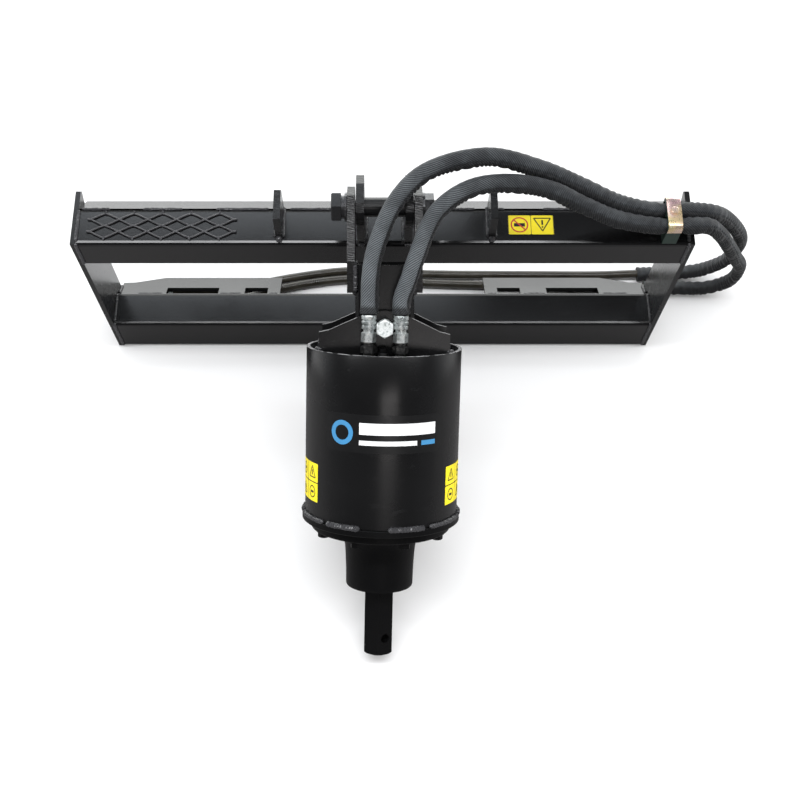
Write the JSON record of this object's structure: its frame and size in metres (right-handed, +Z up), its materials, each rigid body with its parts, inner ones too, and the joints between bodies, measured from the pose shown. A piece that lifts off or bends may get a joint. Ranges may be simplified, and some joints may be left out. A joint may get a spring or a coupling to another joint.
{
  "type": "auger drive attachment for a skid-steer loader",
  "caption": "Hydraulic auger drive in a round hood, hung by a two-axis knuckle from a quick-attach frame, with sleeved hoses and a hex output shaft.",
  "frame": {"origin": "centre of the assembly's footprint on the floor, hoses left out", "axes": "+X to the right along the frame's tubes, +Y towards the loader, +Z up; the hex shaft points towards -Y"},
  "size_m": [1.3444, 0.9083, 0.6386],
  "materials": {
    "paint": "gloss black",
    "zinc": "zinc plated",
    "yellow_zinc": "yellow passivated zinc",
    "steel": "dark bare steel",
    "iron": "cast",
    "sleeve": "woven nylon",
    "rubber": "smooth",
    "plastic": "matte"
  },
  "bodies": {
    "frame": {"upper_tube": "paint", "lower_tube": "paint", "side_plate_left": "paint", "side_plate_right": "paint", "top_lip": "paint", "ledge_left": "paint", "ledge_right": "paint", "lug_left": "paint", "lug_right": "paint", "pivot_ears": "paint", "pivot_pin": "steel", "pivot_washer_left": "steel", "pivot_washer_right": "steel", "pivot_nut": "steel", "step_mesh": "paint", "clamp_body": "plastic", "clamp_plate": "yellow_zinc", "clamp_bolt": "zinc", "hose_left_arch": "sleeve", "hose_left_rear": "sleeve", "hose_left_tail": "rubber", "coupler_left": "zinc", "hose_right_arch": "sleeve", "hose_right_rear": "sleeve", "hose_right_tail": "rubber", "coupler_right": "zinc"},
    "swing_link": {"link_plate_left": "paint", "link_plate_right": "paint", "link_box": "paint", "knuckle_bush": "steel"},
    "drive": {"hanger_front": "paint", "hanger_rear": "paint", "knuckle_bolt": "zinc", "knuckle_nut": "zinc", "hood": "paint", "base_ring": "paint", "gear_case": "iron", "output_housing": "paint", "output_bearing": "steel", "shaft_seal": "rubber", "flange_bolt_1": "zinc", "flange_bolt_2": "zinc", "flange_bolt_3": "zinc", "flange_bolt_4": "zinc", "flange_bolt_5": "zinc", "flange_bolt_6": "zinc", "flange_bolt_7": "zinc", "flange_bolt_8": "zinc", "motor_body": "paint", "motor_port_cover": "paint", "hose_fitting_left": "zinc", "hose_fitting_right": "zinc", "hose_left_lower": "sleeve", "hose_right_lower": "sleeve"},
    "output_shaft": {"output_shaft": "paint"},
    "planet_1": {"planet_gear_1": "steel"},
    "planet_2": {"planet_gear_2": "steel"},
    "planet_3": {"planet_gear_3": "steel"},
    "motor_shaft": {"motor_shaft": "steel"},
    "gerotor_ring": {"gerotor_ring": "steel"}
  },
  "joints": [
    {"name": "link_pivot", "type": "hinge", "parent": "frame", "child": "swing_link", "pos_m": [0.004, 0.20949, 0.5492], "axis": [1, 0, 0], "range_deg": [-50, 20], "deforming": ["hose_left_arch", "hose_right_arch"]},
    {"name": "knuckle", "type": "hinge", "parent": "swing_link", "child": "drive", "pos_m": [0.004, 0.05741, 0.41778], "axis": [0, 0.6539, -0.7566], "range_deg": [-15, 15], "deforming": ["hose_left_lower", "hose_right_lower"]},
    {"name": "shaft_spin", "type": "hinge", "parent": "drive", "child": "output_shaft", "pos_m": [-0.00733, -0.35183, 0.06412], "axis": [0.0209, 0.7565, 0.6537], "continuous": true},
    {"name": "planet_spin_1", "type": "hinge", "parent": "output_shaft", "child": "planet_1", "pos_m": [0.05025, -0.16885, 0.22225], "axis": [0.0209, 0.7565, 0.6537], "continuous": true},
    {"name": "planet_spin_2", "type": "hinge", "parent": "output_shaft", "child": "planet_2", "pos_m": [-0.02848, -0.13787, 0.18893], "axis": [0.0209, 0.7565, 0.6537], "continuous": true},
    {"name": "planet_spin_3", "type": "hinge", "parent": "output_shaft", "child": "planet_3", "pos_m": [-0.02848, -0.19733, 0.25773], "axis": [0.0209, 0.7565, 0.6537], "continuous": true},
    {"name": "motor_spin", "type": "hinge", "parent": "drive", "child": "motor_shaft", "pos_m": [-0.00105, -0.1249, 0.26023], "axis": [0.0209, 0.7565, 0.6537], "continuous": true},
    {"name": "gerotor_spin", "type": "hinge", "parent": "drive", "child": "gerotor_ring", "pos_m": [0.00365, -0.08184, 0.29744], "axis": [0.0209, 0.7565, 0.6537], "continuous": true}
  ],
  "couplings": [
    {"joint": "planet_spin_1", "follows": "shaft_spin", "ratio": -2.6667},
    {"joint": "planet_spin_2", "follows": "shaft_spin", "ratio": -2.6667},
    {"joint": "planet_spin_3", "follows": "shaft_spin", "ratio": -2.6667},
    {"joint": "motor_spin", "follows": "shaft_spin", "ratio": 5},
    {"joint": "gerotor_spin", "follows": "shaft_spin", "ratio": 4.2857}
  ]
}
